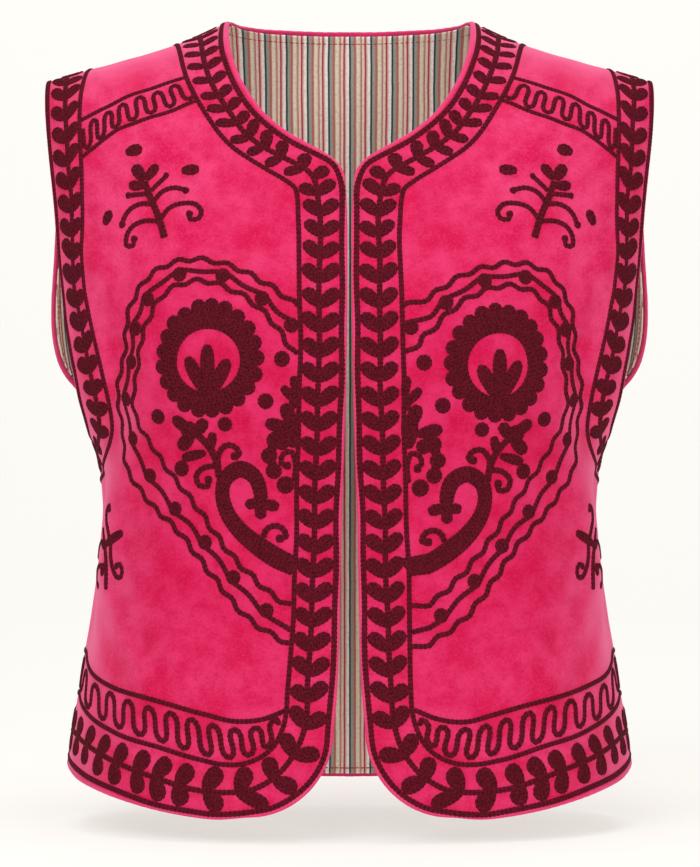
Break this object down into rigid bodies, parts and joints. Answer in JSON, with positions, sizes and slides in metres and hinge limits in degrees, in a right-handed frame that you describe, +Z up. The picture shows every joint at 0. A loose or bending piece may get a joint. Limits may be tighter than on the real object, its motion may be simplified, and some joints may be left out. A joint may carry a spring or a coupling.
{
  "type": "embroidered folk vest",
  "caption": "Short sleeveless velvet vest, open in front, fully lined and edged with dark embroidered leaf bands and paisley medallions, holding its worn form.",
  "frame": {"origin": "midway between the two shoulder seams, at the height where the wearer's shoulders carry the vest", "axes": "+Z up, -Y out of the front of the vest, +X towards the wearer's left"},
  "size_m": [0.3862, 0.2321, 0.4945],
  "materials": {
    "pink_velvet": "hot pink cotton velvet with dark maroon chain-stitch embroidery",
    "striped_lining": "dull woven cotton ticking with narrow navy, grey, terracotta, cream and crimson stripes"
  },
  "bodies": {
    "root": {"front_right": "pink_velvet", "front_left": "pink_velvet", "back": "pink_velvet", "lining_front_right": "striped_lining", "lining_front_left": "striped_lining", "lining_back": "striped_lining"}
  },
  "joints": []
}
